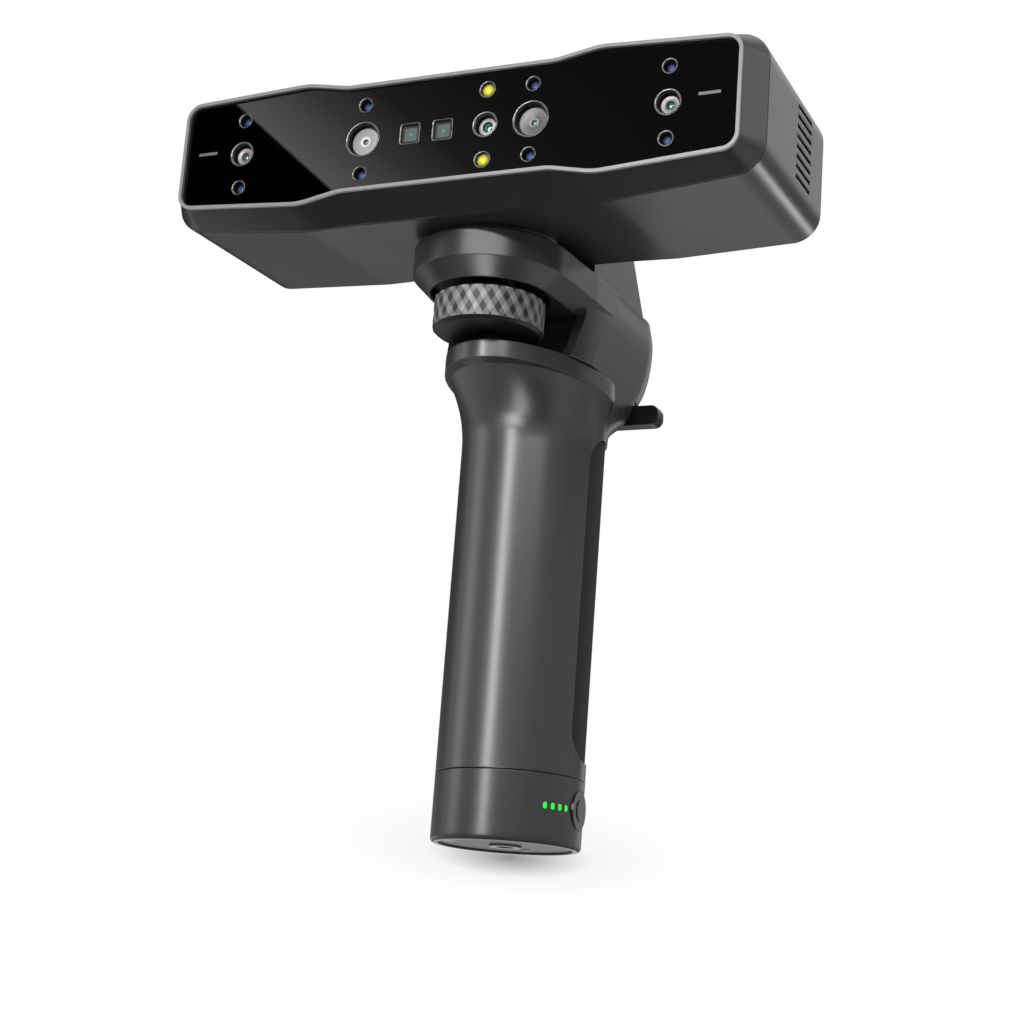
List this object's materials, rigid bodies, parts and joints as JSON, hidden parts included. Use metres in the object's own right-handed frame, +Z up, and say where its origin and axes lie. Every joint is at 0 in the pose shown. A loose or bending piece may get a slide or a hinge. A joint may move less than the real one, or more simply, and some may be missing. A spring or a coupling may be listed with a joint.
{
  "type": "handheld three-d scanner",
  "caption": "Wide optical scanning head with lenses and lights behind a dark front, clamped by a knurled wheel on an upright battery grip with a thumb lever and power button.",
  "frame": {"origin": "centre of the tripod hole's mouth in the base of the grip", "axes": "+Z up along the grip, the lenses face -Y, and +X is on the viewer's right when the lenses face the viewer"},
  "size_m": [0.184, 0.1213, 0.2151],
  "materials": {
    "grip_metal": "satin dark anodised",
    "base_metal": "satin dark anodised",
    "pad_rubber": "matt, fine wavy texture",
    "seat_rubber": "matt",
    "steel": "turned",
    "cell_sleeve": "shrink sleeve over a metal can",
    "inner_plastic": "moulded",
    "board": "solder mask",
    "button_black": "gloss",
    "charge_green": "clear, lit",
    "post_plastic": "satin",
    "head_plastic": "satin",
    "trim_bright": "bright chamfered edge",
    "glass_black": "back-printed black, polished",
    "bench_metal": "machined",
    "ring_black": "satin black",
    "barrel_silver": "turned dish",
    "lens_glass": "coated",
    "blue_lens": "tinted dome",
    "flash_lens": "phosphor dome",
    "window_glass": "coated",
    "strip_grey": "frosted",
    "wheel_metal": "diamond knurled"
  },
  "bodies": {
    "grip": {"base_plate": "base_metal", "base_screws": "steel", "battery_cells": "cell_sleeve", "bracket_screws": "steel", "button_ring": "button_black", "button_switch": "inner_plastic", "cell_holders": "inner_plastic", "charge_lights": "charge_green", "charge_socket": "steel", "contact_block": "inner_plastic", "end_cap": "grip_metal", "grip_shell": "grip_metal", "lever_pin": "steel", "lever_switch": "inner_plastic", "palm_pad": "pad_rubber", "power_board": "board", "radio_board": "board", "rear_post": "post_plastic", "seat_pad": "seat_rubber", "top_bracket": "grip_metal", "tripod_bush": "steel"},
    "head": {"front_band": "head_plastic", "rim_trim": "trim_bright", "front_glass": "glass_black", "light_board": "board", "optical_bench": "bench_metal", "rear_housing": "head_plastic", "camera_rings": "ring_black", "camera_barrel_outer_left": "barrel_silver", "camera_barrel_inner_left": "barrel_silver", "camera_barrel_texture": "barrel_silver", "camera_barrel_inner_right": "barrel_silver", "camera_barrel_outer_right": "barrel_silver", "camera_lens_outer_left": "lens_glass", "camera_lens_inner_left": "lens_glass", "camera_lens_texture": "lens_glass", "camera_lens_inner_right": "lens_glass", "camera_lens_outer_right": "lens_glass", "camera_modules": "inner_plastic", "blue_light_rings": "ring_black", "blue_light_lenses": "blue_lens", "flash_rings": "ring_black", "flash_lenses": "flash_lens", "window_frames": "ring_black", "laser_windows": "window_glass", "laser_module": "bench_metal", "indicator_strips": "strip_grey", "main_board": "board", "board_standoffs": "steel", "heat_sink": "bench_metal", "fan_frame": "inner_plastic", "housing_screws": "steel", "mount_bush": "steel", "contact_plate": "board"},
    "fan": {"fan_rotor": "inner_plastic"},
    "screw_slide": {"thrust_washer": "steel"},
    "wheel": {"thumb_wheel": "wheel_metal", "clamp_stud": "steel"},
    "button": {"power_button": "button_black"},
    "lever": {"thumb_lever": "button_black"}
  },
  "joints": [
    {"name": "head_lift", "type": "slide", "parent": "grip", "child": "head", "axis": [0, 0, 1], "range_m": [0, 0.06]},
    {"name": "fan_spin", "type": "hinge", "parent": "head", "child": "fan", "pos_m": [0.085, -0.0324, 0.1946], "axis": [1, 0, 0], "continuous": true},
    {"name": "wheel_drop", "type": "slide", "parent": "grip", "child": "screw_slide", "axis": [0, 0, -1], "range_m": [0, 0.00255]},
    {"name": "wheel_turn", "type": "hinge", "parent": "screw_slide", "child": "wheel", "pos_m": [0, -0.0382, 0.15], "axis": [0, 0, -1], "range_deg": [0, 720]},
    {"name": "button_press", "type": "slide", "parent": "grip", "child": "button", "axis": [-0.9962, -0.0872, 0], "range_m": [0, 0.0008], "stiffness_N_per_m": 500, "springref_m": -0.0004},
    {"name": "lever_press", "type": "hinge", "parent": "grip", "child": "lever", "pos_m": [0.0155, 0.0252, 0.1369], "axis": [0, 1, 0], "range_deg": [0, 10], "stiffness_Nm_per_rad": 0.02, "springref_deg": -8.59}
  ],
  "couplings": [
    {"joint": "wheel_drop", "follows": "wheel_turn", "m_per_rad": 0.00020213}
  ]
}
